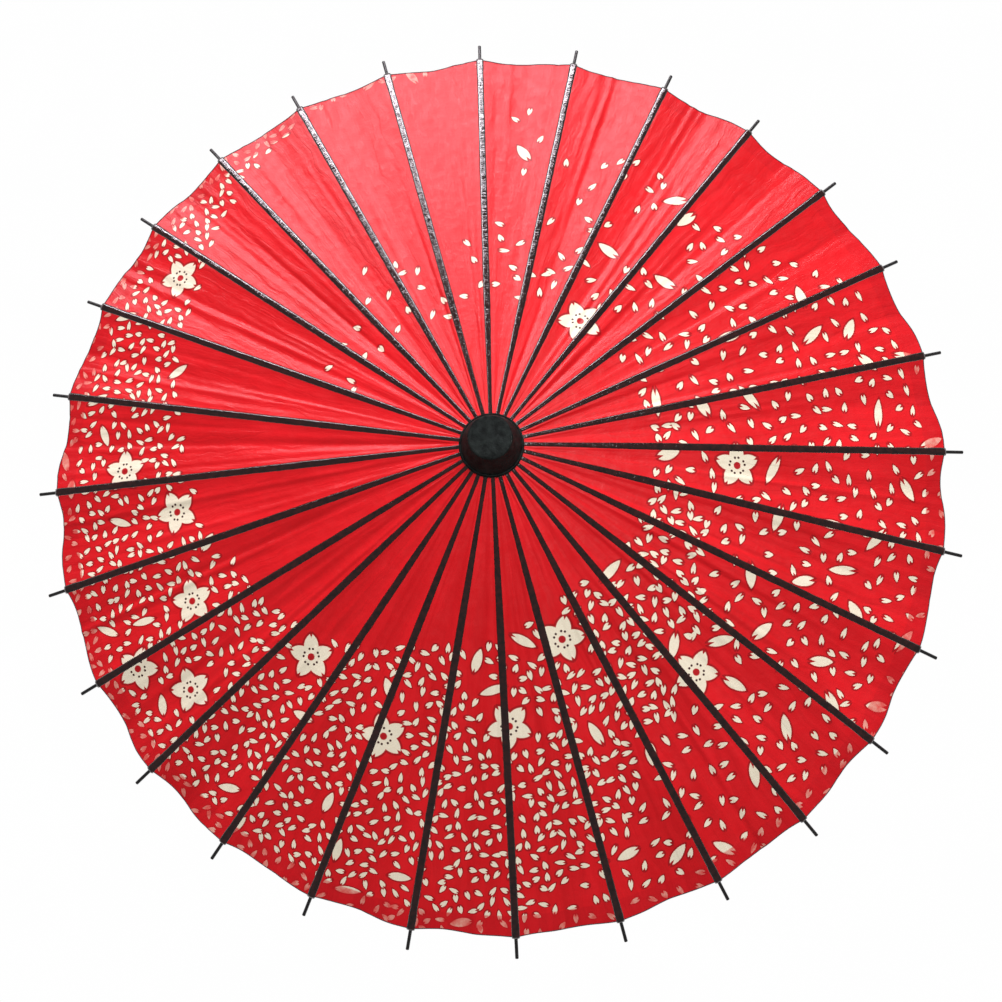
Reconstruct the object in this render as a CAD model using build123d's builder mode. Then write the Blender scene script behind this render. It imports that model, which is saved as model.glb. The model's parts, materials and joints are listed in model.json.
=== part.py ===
"""Oil paper umbrella: 28 bamboo ribs and 28 stretchers that fold round a wooden shaft.

Millimetres, +Z up the shaft, origin at the centre of the grip's bottom face. The model is drawn open.

The fold is an isosceles linkage in each radial plane. A rib turns on the head, a stretcher of the same
length as the rib's inner part joins the rib to the runner, and both hubs hold their pivots on circles of
one radius. So the runner stays square to the shaft, and it moves straight down it as the ribs swing.
"""

import os
from math import asin, cos, degrees, radians, sin, sqrt, tan

from build123d import *

# Whole umbrella
RIB_COUNT = 28
TIP_RADIUS = 420.0  # to the ends of the rib tips, open
TOTAL_LENGTH = 560.0  # from the grip's end to the top of the crown
OPEN_SLOPE = 18.0  # degrees that an open rib falls below the horizontal
PITCH = 360.0 / RIB_COUNT

# The linkage
PIVOT_RADIUS = 18.0  # of both circles of hinge wire
LINK = 180.0  # head pivot to rib pivot, and rib pivot to runner pivot
KNUCKLE_DROP = 4.0  # rib pivot below the rib's centre line
CROWN_TO_PIVOT = 33.0  # top of the crown above the head pivots
HEAD_PIVOT_Z = TOTAL_LENGTH - CROWN_TO_PIVOT
LINK_SLOPE = OPEN_SLOPE + degrees(asin(KNUCKLE_DROP / LINK))
RUNNER_PIVOT_Z = HEAD_PIVOT_Z - 2 * LINK * sin(radians(LINK_SLOPE))

# Hinge wires, pins and their holes
WIRE_RADIUS = 0.55
WIRE_TUNNEL_RADIUS = 0.60
WIRE_HOLE_RADIUS = 0.64
PIN_RADIUS = 0.60
PIN_SEAT_RADIUS = 0.62
PIN_HOLE_RADIUS = 0.66

# Hubs: the slotted discs of the head and the runner
HUB_RADIUS = 22.0
SLOT_WIDTH = 2.1
SLOT_FLOOR_RADIUS = 14.2
HUB_OPEN_SIDE = 4.0  # hub face beyond the pivots, on the side that the slots are open
SLOT_ROOF = 2.4  # end of a slot beyond the pivots, on the closed side
SLOT_MOUTH = 0.2  # roof of the slot at its mouth
SLOT_MOUTH_RADIUS = 26.0
HUB_CORNER = 1.2

# Ribs
TONGUE_WIDTH = 1.8
TONGUE_LENGTH = 7.0
SHOULDER_LENGTH = 2.0
RIB_HALF_THICKNESS = 2.0
RIB_ROOT_WIDTH = 3.2
RIB_KNUCKLE_WIDTH = 4.0
RIB_WIDTH = 5.5
RIB_FULL_WIDTH_AT = 320.0  # along the rib from the head pivot
RIB_TAPER_AT = 300.0
RIB_END_THICKNESS = 3.2
KNUCKLE_HALF_LENGTH = 6.5
KNUCKLE_NOSE = 2.1
KNUCKLE_SLOT_ROOF = 0.1  # above the rib's underside
TIP_PEG_RADIUS = 1.5
TIP_PEG_SETBACK = 3.0  # buried in the rib's end

# Stretchers
STRETCHER_WIDTH = 3.0
STRETCHER_HALF_THICKNESS = 1.6
STRETCHER_NOSE = 1.8
OUTER_TONGUE_LENGTH = 7.5

# Canopy paper
PAPER_THICKNESS = 0.25
PAPER_GAP = 0.30  # paper above the ribs
PAPER_EDGE_RADIUS = 401.5
PAPER_INNER_RADIUS = 23.0
RIB_OVERHANG = 0.4  # rib body past the paper's edge

# Head and its crown
CROWN_BASE_RADIUS = 24.6
CROWN_TOP_RADIUS = 17.0
CROWN_GAP = 0.30
CROWN_EDGE_FILLET = 2.0
CROWN_LIP = 2.2  # height of the crown's upright lip
SHAFT_SOCKET_END = 12.0  # below the top of the crown
SHAFT_END_GAP = 1.0  # between the shaft's end and the socket's

# Shaft and grip
SHAFT_RADIUS = 6.0
GRIP_RADIUS = 9.0
GRIP_LENGTH = 92.0
GRIP_END_FILLET = 4.0
GRIP_TOP_FILLET = 2.0

# Runner
RUNNER_BORE_CLEARANCE = 0.15
RUNNER_DISC_BELOW = 8.0  # of the pivots
RUNNER_NECK_RADIUS = 12.5
RUNNER_FOOT_RADIUS = 16.0
RUNNER_FOOT_HEIGHT = 6.0
RUNNER_LENGTH_BELOW = 38.0  # of the pivots
RUNNER_FILLET = 1.5

# Catch: a lever in a slot in the shaft, with its nose under the runner
CATCH_AZIMUTH = 270.0
CATCH_GAP = 0.3  # under the runner
CATCH_TOP_Z = RUNNER_PIVOT_Z - RUNNER_LENGTH_BELOW - CATCH_GAP
CATCH_LENGTH = 56.0
CATCH_PIVOT_RADIUS = 1.0  # from the shaft's axis
CATCH_WIDTH = 2.2
CATCH_SLOT_WIDTH = 2.6
CATCH_SLOT_BACK = -4.3
CATCH_NOSE_REACH = 9.6
CATCH_NOSE_HEIGHT = 18.0
CATCH_BODY_FRONT = 3.4
CATCH_END_RADIUS = 2.2
CATCH_PIN_RADIUS = 0.8
CATCH_PIN_SEAT_RADIUS = 0.81
CATCH_HOLE_RADIUS = 0.86
CATCH_PIN_HALF_LENGTH = 5.6

KNUCKLE_ALONG = sqrt(LINK**2 - KNUCKLE_DROP**2)  # along the rib from the head pivot
SLOPE = radians(OPEN_SLOPE)
RIB_END = (PAPER_EDGE_RADIUS - PIVOT_RADIUS) / cos(SLOPE) + RIB_OVERHANG
RIB_TIP = (TIP_RADIUS - PIVOT_RADIUS) / cos(SLOPE)


def radial_plane(azimuth, radius, height, slope=0.0):
    """An upright plane through the shaft's axis. Local x runs outward and falls by slope degrees, local y is up."""
    turn, fall = radians(azimuth), radians(slope)
    outward = Vector(cos(turn), sin(turn), 0)
    return Plane(
        origin=outward * radius + Vector(0, 0, height),
        x_dir=outward * cos(fall) - Vector(0, 0, sin(fall)),
        z_dir=Vector(sin(turn), -cos(turn), 0),
    )


def plan_plane(side):
    """The plane that looks down on a bar drawn in the plane side: same x, with y across the bar."""
    return Plane(origin=side.origin, x_dir=side.x_dir, z_dir=side.y_dir)


def square_plane(side, along, up=0.0):
    """The plane square to a bar at a distance along it."""
    return Plane(
        origin=side.origin + side.x_dir * along + side.y_dir * up,
        x_dir=side.z_dir,
        z_dir=side.x_dir,
    )


def both_sides(half_outline):
    """A closed outline from one side's (along, half width) points."""
    return half_outline + [(x, -y) for x, y in reversed(half_outline)]


def paper_height(radius):
    """Height of the paper's underside on a rib's line at this radius."""
    on_rib = HEAD_PIVOT_Z + (RIB_HALF_THICKNESS + PAPER_GAP) / cos(SLOPE)
    return on_rib - (radius - PIVOT_RADIUS) * tan(SLOPE)


def make_rib(azimuth):
    """A split bamboo rib: hinge tongue, knuckle for the stretcher, flat blade and round tip, with its hinge pin."""
    side = radial_plane(azimuth, PIVOT_RADIUS, HEAD_PIVOT_Z, OPEN_SLOPE)
    half = RIB_HALF_THICKNESS
    widths = [
        (-half, TONGUE_WIDTH / 2),
        (TONGUE_LENGTH, TONGUE_WIDTH / 2),
        (TONGUE_LENGTH + SHOULDER_LENGTH, RIB_ROOT_WIDTH / 2),
        (KNUCKLE_ALONG + 2 * KNUCKLE_HALF_LENGTH, RIB_KNUCKLE_WIDTH / 2),
        (RIB_FULL_WIDTH_AT, RIB_WIDTH / 2),
        (RIB_END, RIB_WIDTH / 2),
    ]
    with BuildPart() as rib:
        with BuildSketch(side):
            with BuildLine():
                Polyline(
                    (0, half),
                    (RIB_END, half),
                    (RIB_END, half - RIB_END_THICKNESS),
                    (RIB_TAPER_AT, -half),
                    (0, -half),
                )
                ThreePointArc((0, -half), (-half, 0), (0, half))
            make_face()
            with Locations((KNUCKLE_ALONG, -KNUCKLE_DROP)):
                Circle(KNUCKLE_NOSE)
                Polygon(
                    (-KNUCKLE_HALF_LENGTH, KNUCKLE_DROP - half),
                    (-KNUCKLE_NOSE, 0),
                    (KNUCKLE_NOSE, 0),
                    (KNUCKLE_HALF_LENGTH, KNUCKLE_DROP - half),
                    align=None,
                )
        extrude(amount=RIB_WIDTH / 2, both=True)
        with BuildSketch(plan_plane(side)):
            Polygon(*both_sides(widths), align=None)
        extrude(amount=2 * KNUCKLE_DROP, both=True, mode=Mode.INTERSECT)
        with BuildSketch(side):
            with Locations((KNUCKLE_ALONG, -half + KNUCKLE_SLOT_ROOF)):
                Rectangle(
                    3 * KNUCKLE_HALF_LENGTH,
                    3 * KNUCKLE_DROP,
                    align=(Align.CENTER, Align.MAX),
                )
        extrude(amount=SLOT_WIDTH / 2, both=True, mode=Mode.SUBTRACT)
        with BuildSketch(side):
            Circle(WIRE_HOLE_RADIUS)
            with Locations((KNUCKLE_ALONG, -KNUCKLE_DROP)):
                Circle(PIN_SEAT_RADIUS)
        extrude(amount=RIB_WIDTH, both=True, mode=Mode.SUBTRACT)
        peg_up = half - RIB_END_THICKNESS / 2
        with BuildSketch(square_plane(side, RIB_END - TIP_PEG_SETBACK, peg_up)):
            Circle(TIP_PEG_RADIUS)
        extrude(amount=RIB_TIP - RIB_END + TIP_PEG_SETBACK)
    with BuildPart() as pin:
        with BuildSketch(side):
            with Locations((KNUCKLE_ALONG, -KNUCKLE_DROP)):
                Circle(PIN_RADIUS)
        extrude(amount=RIB_KNUCKLE_WIDTH / 2, both=True)
    return Compound(children=[rib.part, pin.part])


def make_stretcher(azimuth):
    """A split bamboo stretcher, with a tongue and a hole at each end."""
    side = radial_plane(azimuth, PIVOT_RADIUS, RUNNER_PIVOT_Z, -LINK_SLOPE)
    widths = [
        (-RIB_HALF_THICKNESS, TONGUE_WIDTH / 2),
        (TONGUE_LENGTH, TONGUE_WIDTH / 2),
        (TONGUE_LENGTH + SHOULDER_LENGTH, STRETCHER_WIDTH / 2),
        (LINK - OUTER_TONGUE_LENGTH - SHOULDER_LENGTH, STRETCHER_WIDTH / 2),
        (LINK - OUTER_TONGUE_LENGTH, TONGUE_WIDTH / 2),
        (LINK + STRETCHER_NOSE, TONGUE_WIDTH / 2),
    ]
    with BuildPart() as stretcher:
        with BuildSketch(side):
            Rectangle(LINK, 2 * STRETCHER_HALF_THICKNESS, align=(Align.MIN, Align.CENTER))
            with Locations((0, 0), (LINK, 0)):
                Circle(STRETCHER_NOSE)
        extrude(amount=STRETCHER_WIDTH / 2, both=True)
        with BuildSketch(plan_plane(side)):
            Polygon(*both_sides(widths), align=None)
        extrude(amount=2 * STRETCHER_NOSE, both=True, mode=Mode.INTERSECT)
        with BuildSketch(side):
            Circle(WIRE_HOLE_RADIUS)
            with Locations((LINK, 0)):
                Circle(PIN_HOLE_RADIUS)
        extrude(amount=STRETCHER_WIDTH, both=True, mode=Mode.SUBTRACT)
    return stretcher.part


def make_slot_cutter(pivot_z, closed_side):
    """The space of one hub slot. closed_side is 1 if the slot is closed above the pivots and -1 if below."""
    with BuildPart() as cutter:
        with BuildSketch(radial_plane(0, PIVOT_RADIUS, pivot_z)):
            Polygon(
                (SLOT_FLOOR_RADIUS - PIVOT_RADIUS, -2 * HUB_OPEN_SIDE * closed_side),
                (SLOT_FLOOR_RADIUS - PIVOT_RADIUS, SLOT_ROOF * closed_side),
                (0, SLOT_ROOF * closed_side),
                (SLOT_MOUTH_RADIUS - PIVOT_RADIUS, SLOT_MOUTH * closed_side),
                (SLOT_MOUTH_RADIUS - PIVOT_RADIUS, -2 * HUB_OPEN_SIDE * closed_side),
                align=None,
            )
        extrude(amount=SLOT_WIDTH / 2, both=True)
    return cutter.part


def make_hinge_wire(pivot_z):
    """The ring of wire that every bar on a hub turns on."""
    with BuildPart() as wire:
        with Locations((0, 0, pivot_z)):
            Torus(PIVOT_RADIUS, WIRE_RADIUS)
    return wire.part


def make_head():
    """The turned head: a slotted disc for the ribs below, and the crown that covers the paper's inner edge above."""
    lip_z = paper_height(CROWN_BASE_RADIUS) + PAPER_THICKNESS / cos(SLOPE) + CROWN_GAP
    underside_z = lip_z + (CROWN_BASE_RADIUS - HUB_RADIUS) * tan(SLOPE)
    bottom_z = HEAD_PIVOT_Z - HUB_OPEN_SIDE
    slot = make_slot_cutter(HEAD_PIVOT_Z, closed_side=1)
    with BuildPart() as head:
        with BuildSketch(Plane.XZ) as profile:
            Polygon(
                (0, bottom_z),
                (HUB_RADIUS, bottom_z),
                (HUB_RADIUS, underside_z),
                (CROWN_BASE_RADIUS, lip_z),
                (CROWN_BASE_RADIUS, lip_z + CROWN_LIP),
                (CROWN_TOP_RADIUS, TOTAL_LENGTH),
                (0, TOTAL_LENGTH),
                align=None,
            )
            top_corner = profile.vertices().sort_by(Axis.Z)[-2:].sort_by(Axis.X)[-1]
            fillet(top_corner, CROWN_EDGE_FILLET)
            hub_corner = profile.vertices().sort_by(Axis.Z)[:2].sort_by(Axis.X)[-1]
            chamfer(hub_corner, HUB_CORNER)
        revolve(axis=Axis.Z)
        with BuildSketch(Plane.XY.offset(bottom_z)):
            Circle(SHAFT_RADIUS)
        extrude(amount=TOTAL_LENGTH - SHAFT_SOCKET_END - bottom_z, mode=Mode.SUBTRACT)
        with PolarLocations(0, RIB_COUNT):
            add(slot, mode=Mode.SUBTRACT)
        with Locations((0, 0, HEAD_PIVOT_Z)):
            Torus(PIVOT_RADIUS, WIRE_TUNNEL_RADIUS, mode=Mode.SUBTRACT)
    return head.part


def make_runner():
    """The turned runner: a slotted disc for the stretchers, and a neck and foot to slide it by."""
    top_z = RUNNER_PIVOT_Z + HUB_OPEN_SIDE
    disc_z = RUNNER_PIVOT_Z - RUNNER_DISC_BELOW
    foot_z = RUNNER_PIVOT_Z - RUNNER_LENGTH_BELOW
    bore = SHAFT_RADIUS + RUNNER_BORE_CLEARANCE
    slot = make_slot_cutter(RUNNER_PIVOT_Z, closed_side=-1)
    with BuildPart() as runner:
        with BuildSketch(Plane.XZ) as profile:
            Polygon(
                (bore, top_z),
                (HUB_RADIUS, top_z),
                (HUB_RADIUS, disc_z),
                (RUNNER_NECK_RADIUS, disc_z - (HUB_RADIUS - RUNNER_NECK_RADIUS) / 2),
                (RUNNER_NECK_RADIUS, foot_z + RUNNER_FOOT_HEIGHT),
                (RUNNER_FOOT_RADIUS, foot_z + RUNNER_FOOT_HEIGHT / 2),
                (RUNNER_FOOT_RADIUS, foot_z),
                (bore, foot_z),
                align=None,
            )
            between = (foot_z + RUNNER_FILLET / 2, top_z - RUNNER_FILLET / 2)
            fillet(profile.vertices().filter_by_position(Axis.Z, *between), RUNNER_FILLET)
            rim = profile.vertices().sort_by(Axis.Z)[-2:].sort_by(Axis.X)[-1]
            chamfer(rim, HUB_CORNER)
        revolve(axis=Axis.Z)
        with PolarLocations(0, RIB_COUNT):
            add(slot, mode=Mode.SUBTRACT)
        with Locations((0, 0, RUNNER_PIVOT_Z)):
            Torus(PIVOT_RADIUS, WIRE_TUNNEL_RADIUS, mode=Mode.SUBTRACT)
    return runner.part


def make_shaft():
    """The wooden pole, with a slot for the catch."""
    side = radial_plane(CATCH_AZIMUTH, 0, CATCH_TOP_Z)
    pivot_down = CATCH_LENGTH
    slot_top = CATCH_END_RADIUS
    slot_bottom = -pivot_down - 2 * CATCH_END_RADIUS
    with BuildPart() as shaft:
        with BuildSketch(Plane.XY):
            Circle(SHAFT_RADIUS)
        extrude(amount=TOTAL_LENGTH - SHAFT_SOCKET_END - SHAFT_END_GAP)
        with BuildSketch(side):
            Polygon(
                (CATCH_SLOT_BACK, slot_top),
                (2 * SHAFT_RADIUS, slot_top),
                (2 * SHAFT_RADIUS, slot_bottom),
                (CATCH_SLOT_BACK, slot_bottom),
                align=None,
            )
        extrude(amount=CATCH_SLOT_WIDTH / 2, both=True, mode=Mode.SUBTRACT)
        with BuildSketch(side):
            with Locations((CATCH_PIVOT_RADIUS, -pivot_down)):
                Circle(CATCH_PIN_SEAT_RADIUS)
        extrude(amount=2 * SHAFT_RADIUS, both=True, mode=Mode.SUBTRACT)
    return shaft.part


def make_catch_pin():
    """The cross pin that the catch turns on."""
    with BuildPart() as pin:
        with BuildSketch(radial_plane(CATCH_AZIMUTH, 0, CATCH_TOP_Z)):
            with Locations((CATCH_PIVOT_RADIUS, -CATCH_LENGTH)):
                Circle(CATCH_PIN_RADIUS)
        extrude(amount=CATCH_PIN_HALF_LENGTH, both=True)
    return pin.part


def make_catch():
    """The catch: a flat lever whose nose stands out of the shaft and holds the runner up."""
    with BuildPart() as catch:
        with BuildSketch(radial_plane(CATCH_AZIMUTH, 0, CATCH_TOP_Z)):
            Polygon(
                (0, 0),
                (CATCH_NOSE_REACH, 0),
                (CATCH_BODY_FRONT, -CATCH_NOSE_HEIGHT),
                (CATCH_PIVOT_RADIUS + CATCH_END_RADIUS, -CATCH_LENGTH),
                (CATCH_PIVOT_RADIUS - CATCH_END_RADIUS, -CATCH_LENGTH),
                align=None,
            )
            with Locations((CATCH_PIVOT_RADIUS, -CATCH_LENGTH)):
                Circle(CATCH_END_RADIUS)
                Circle(CATCH_HOLE_RADIUS, mode=Mode.SUBTRACT)
        extrude(amount=CATCH_WIDTH / 2, both=True)
    return catch.part


def make_grip():
    """The turned grip on the shaft's lower end."""
    with BuildPart() as grip:
        with BuildSketch(Plane.XY):
            Circle(GRIP_RADIUS)
        extrude(amount=GRIP_LENGTH)
        rims = grip.edges().filter_by(GeomType.CIRCLE).sort_by(Axis.Z)
        fillet(rims[0], GRIP_END_FILLET)
        rims = grip.edges().filter_by(GeomType.CIRCLE).sort_by(Axis.Z)
        fillet(rims[-1], GRIP_TOP_FILLET)
    return grip.part


def make_canopy():
    """The paper: a thin pyramid of flat panels with a ridge on each rib, open round the head."""
    lift = PAPER_THICKNESS / cos(SLOPE)
    edge_z, inner_z = paper_height(PAPER_EDGE_RADIUS), paper_height(PAPER_INNER_RADIUS)
    with BuildPart() as canopy:
        for up, mode in ((lift, Mode.ADD), (0, Mode.SUBTRACT)):
            with BuildSketch(Plane.XY.offset(edge_z + up)):
                RegularPolygon(PAPER_EDGE_RADIUS, RIB_COUNT)
            with BuildSketch(Plane.XY.offset(inner_z + up)):
                RegularPolygon(PAPER_INNER_RADIUS, RIB_COUNT)
            loft(ruled=True, mode=mode)
        with BuildSketch(Plane.XY.offset(inner_z)):
            RegularPolygon(PAPER_INNER_RADIUS, RIB_COUNT)
        extrude(amount=2 * lift, both=True, mode=Mode.SUBTRACT)
    return canopy.part


def write(shape, name):
    """Labels a finished piece and writes its STEP file."""
    shape.label = name
    export_step(shape, f"parts/{name}.step")


os.makedirs("parts", exist_ok=True)
for number in range(RIB_COUNT):
    write(make_rib(number * PITCH), f"rib_{number + 1:02d}")
    write(make_stretcher(number * PITCH), f"stretcher_{number + 1:02d}")

shaft = make_shaft()
stem_pieces = [shaft, make_head(), make_hinge_wire(HEAD_PIVOT_Z), make_catch_pin(), make_grip() - shaft]
write(Compound(children=stem_pieces), "shaft_and_head")
write(Compound(children=[make_runner(), make_hinge_wire(RUNNER_PIVOT_Z)]), "runner")
write(make_catch(), "catch")
write(make_canopy(), "canopy")
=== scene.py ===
"""Looks of the oil paper umbrella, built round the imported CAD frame. Metres, +Z up the shaft, open at rest.

The paper is 28 sheets, one from each rib to the next, because each has to fold down with its rib. Their edges
meet under the lacquer bands that run along the ribs, and the surface is continuous across them.
"""

import json
import math
import random

import bpy
from mathutils import Matrix, Vector, noise


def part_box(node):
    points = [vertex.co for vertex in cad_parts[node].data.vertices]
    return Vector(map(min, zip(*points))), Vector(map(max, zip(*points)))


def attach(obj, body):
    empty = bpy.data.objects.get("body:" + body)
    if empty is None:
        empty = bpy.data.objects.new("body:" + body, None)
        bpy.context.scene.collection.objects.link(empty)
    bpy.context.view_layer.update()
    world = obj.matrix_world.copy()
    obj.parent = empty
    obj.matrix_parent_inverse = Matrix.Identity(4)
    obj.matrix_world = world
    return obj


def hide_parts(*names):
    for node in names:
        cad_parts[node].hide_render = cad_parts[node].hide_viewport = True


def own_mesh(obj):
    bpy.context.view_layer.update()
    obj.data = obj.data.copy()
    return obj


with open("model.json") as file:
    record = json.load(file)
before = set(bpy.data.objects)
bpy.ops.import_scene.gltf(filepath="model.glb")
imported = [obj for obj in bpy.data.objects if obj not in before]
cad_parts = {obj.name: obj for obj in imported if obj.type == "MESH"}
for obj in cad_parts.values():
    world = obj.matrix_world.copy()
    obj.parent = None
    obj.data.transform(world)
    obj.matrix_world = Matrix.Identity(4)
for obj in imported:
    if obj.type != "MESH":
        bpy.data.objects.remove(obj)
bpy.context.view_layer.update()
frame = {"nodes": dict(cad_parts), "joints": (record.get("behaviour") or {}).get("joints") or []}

# Driving sizes, read off the frame
RIB_COUNT = sum(name.startswith("rib_") for name in frame["nodes"])
PITCH = 2 * math.pi / RIB_COUNT
FOLD = next(joint for joint in frame["joints"] if joint["name"] == "fold")
PIVOT_RADIUS, _, PIVOT_Z = FOLD["pos_m"]
TIP_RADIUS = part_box("rib_01")[1].x
TIP_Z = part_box("rib_01")[0].z
PAPER_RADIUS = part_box("canopy")[1].x
PAPER_EDGE_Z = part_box("canopy")[0].z
PAPER_TOP_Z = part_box("canopy")[1].z
PAPER_INNER_RADIUS = 0.023
SLOPE = math.atan((PAPER_TOP_Z - PAPER_EDGE_Z) / (PAPER_RADIUS - PAPER_INNER_RADIUS))

# Paper
INNER_RADIUS = 0.0239  # of the visible sheets
SAG_SHARE = 0.045  # of a panel's width, at its middle
CREASE_SHARE = 0.022
RIM_WAVE = 0.0024
ACROSS, ALONG = 44, 130
RIB_HALF_WIDTH = 0.0031  # the paper lies flat on a rib this far from its centre line
HEM_WIDTH = 0.018

# Lacquer bands on the ribs
BAND_START_RADIUS = 0.0244
BAND_WIDTH = 0.0064
BAND_START_WIDTH = 0.0035
BAND_FULL_WIDTH_RADIUS = 0.16
BAND_HEIGHT = 0.0011
BAND_PROFILE_POINTS = 11
BAND_STEPS = 220

# The crown
CROWN_BASE_RADIUS = 0.0246
CROWN_TOP_RADIUS = 0.0170
CROWN_TOP_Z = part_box("shaft_and_head")[1].z
CROWN_SKIN = 0.0003

random.seed(28)


def paper_z(radius):
    """Height of the paper on a rib's line."""
    return PAPER_EDGE_Z + (PAPER_RADIUS - radius) * math.tan(SLOPE)


def polar(radius, angle, z):
    """A point from its distance from the shaft's axis, its angle and its height."""
    return Vector((radius * math.cos(angle), radius * math.sin(angle), z))


def smooth(x):
    """A smooth step from 0 to 1."""
    x = min(max(x, 0.0), 1.0)
    return x * x * (3 - 2 * x)


# ---------------------------------------------------------------- shader helpers


class Shader:
    """A material's node tree, with short calls for the nodes used here."""

    def __init__(self, name):
        self.material = bpy.data.materials.new(name)
        self.material.use_nodes = True
        self.tree = self.material.node_tree
        self.principled = self.tree.nodes["Principled BSDF"]

    def node(self, kind, **settings):
        made = self.tree.nodes.new(kind)
        for key, value in settings.items():
            setattr(made, key, value)
        return made

    def feed(self, socket, value):
        """Links an output to a socket, or sets the socket's own number."""
        if isinstance(value, bpy.types.NodeSocket):
            self.tree.links.new(value, socket)
        else:
            socket.default_value = value

    def math(self, operation, *values, clamp=False):
        made = self.node("ShaderNodeMath", operation=operation, use_clamp=clamp)
        for socket, value in zip(made.inputs, values):
            self.feed(socket, value)
        return made.outputs[0]

    def vector(self, operation, *values):
        made = self.node("ShaderNodeVectorMath", operation=operation)
        for socket, value in zip(made.inputs, values):
            self.feed(socket, value)
        return made.outputs[0]

    def split(self, vector):
        made = self.node("ShaderNodeSeparateXYZ")
        self.feed(made.inputs[0], vector)
        return made.outputs

    def join(self, x, y, z=0.0):
        made = self.node("ShaderNodeCombineXYZ")
        for socket, value in zip(made.inputs, (x, y, z)):
            self.feed(socket, value)
        return made.outputs[0]

    def noise(self, vector, scale, detail=3.0, roughness=0.55):
        made = self.node("ShaderNodeTexNoise")
        self.feed(made.inputs["Vector"], vector)
        made.inputs["Scale"].default_value = scale
        made.inputs["Detail"].default_value = detail
        made.inputs["Roughness"].default_value = roughness
        return made.outputs["Fac"]

    def scaled(self, value, low, high, to_low=0.0, to_high=1.0, soft=False):
        """value from the range low..high, mapped to to_low..to_high and held inside it."""
        made = self.node("ShaderNodeMapRange", interpolation_type="SMOOTHSTEP" if soft else "LINEAR")
        for socket, number in zip(made.inputs, (value, low, high, to_low, to_high)):
            self.feed(socket, number)
        return made.outputs[0]

    def mix(self, factor, first, second):
        """The mix of two colours."""
        made = self.node("ShaderNodeMix", data_type="RGBA")
        self.feed(made.inputs[0], factor)
        for socket, colour in ((made.inputs[6], first), (made.inputs[7], second)):
            self.feed(socket, colour if isinstance(colour, bpy.types.NodeSocket) else (*colour, 1))
        return made.outputs[2]

    def bump(self, height, distance, strength=1.0):
        made = self.node("ShaderNodeBump")
        made.inputs["Strength"].default_value = strength
        made.inputs["Distance"].default_value = distance
        self.feed(made.inputs["Height"], height)
        self.feed(self.principled.inputs["Normal"], made.outputs[0])

    def place(self, source="Object"):
        """The surface's own coordinates in metres."""
        return self.node("ShaderNodeTexCoord").outputs[source]

    def attribute(self, name):
        return self.node("ShaderNodeAttribute", attribute_name=name).outputs["Vector"]

    def finish(self, **sockets):
        """Feeds the shader's sockets, named with underscores for spaces."""
        for key, value in sockets.items():
            socket = self.principled.inputs[key.replace("_", " ")]
            if isinstance(value, tuple):
                value = (*value, 1)
            self.feed(socket, value)
        return self.material


# ---------------------------------------------------------------- the printed pattern

SMALL_CELL = 0.0102
SPARSE_CELL = 0.0158
SMALL_PETAL = (0.0046, 0.0026)  # half length, half width
LARGE_CELL = 0.040
LARGE_PETAL = (0.0115, 0.0047)
LARGE_SHARE = 0.42
DENSE_SHARE = 0.97
BLOSSOM_RADIUS = 0.0182
SMALL_SEED, SPARSE_SEED, LARGE_SEED = 3.1, 5.3, 7.7
ZONE_EDGE = 0.05  # how unevenly the dense part ends

# Where the blossoms lie on the open umbrella: angle in degrees, distance from the shaft in millimetres, turn
BLOSSOMS = [
    (133, 344, 10),
    (165, 333, 30),
    (173, 283, 5),
    (189, 289, 20),
    (194, 361, 50),
    (201, 329, 15),
    (212, 228, 35),
    (233, 251, 25),
    (258, 225, 0),
    (275, 164, 40),
    (298, 247, 55),
    (343, 207, 30),
    (42, 137, 15),
]

# The drift of petals round the umbrella. A row is an angle in degrees, then three distances in millimetres:
# where the petals start, where they stop being dense and where they end. The last number is the share of the
# sparse petals that are printed.
DRIFT = [
    (0, 129, 150, 392, 0.96),
    (12, 131, 140, 371, 0.90),
    (22, 135, 139, 325, 0.82),
    (34, 140, 143, 294, 0.70),
    (49, 149, 151, 315, 0.48),
    (63, 174, 174, 295, 0.26),
    (77, 389, 389, 399, 0.0),
    (99, 393, 402, 402, 0.0),
    (110, 376, 402, 402, 0.5),
    (119, 354, 402, 402, 0.5),
    (129, 328, 402, 402, 0.5),
    (141, 309, 402, 402, 0.5),
    (156, 285, 402, 402, 0.5),
    (179, 252, 402, 402, 0.5),
    (190, 233, 402, 402, 0.5),
    (203, 219, 402, 402, 0.5),
    (217, 195, 402, 402, 0.5),
    (238, 162, 402, 402, 0.6),
    (260, 150, 390, 402, 0.95),
    (278, 135, 300, 402, 0.95),
    (296, 129, 240, 402, 0.95),
    (316, 134, 205, 402, 0.95),
    (334, 129, 175, 402, 0.95),
]

# The few stray petals at the drift's far end: angle, start, end. There are none where the end comes first.
STRAYS = [
    (0, 135, 120),
    (46, 135, 120),
    (61, 134, 216),
    (76, 145, 217),
    (93, 125, 168),
    (106, 126, 214),
    (126, 128, 176),
    (147, 128, 152),
    (154, 135, 120),
    (181, 135, 120),
]
STRAY_SHARE = 0.55
PATTERN_SIZE = 500.0  # millimetres that the ramps' full value stands for


def angle_ramp(shader, turn, rows):
    """Colour and alpha outputs of a ramp over one turn, from rows of (degrees, values...)."""
    ramp = shader.node("ShaderNodeValToRGB")
    stops = ramp.color_ramp.elements
    first = rows[0]
    for index, row in enumerate([*rows, (360, *first[1:])]):
        position = row[0] / 360
        stop = stops[index] if index < 1 else stops.new(position) if index < len(rows) else stops[-1]
        stop.position = position
        stop.color = row[1:]
    shader.feed(ramp.inputs[0], turn)
    return ramp.outputs


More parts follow.
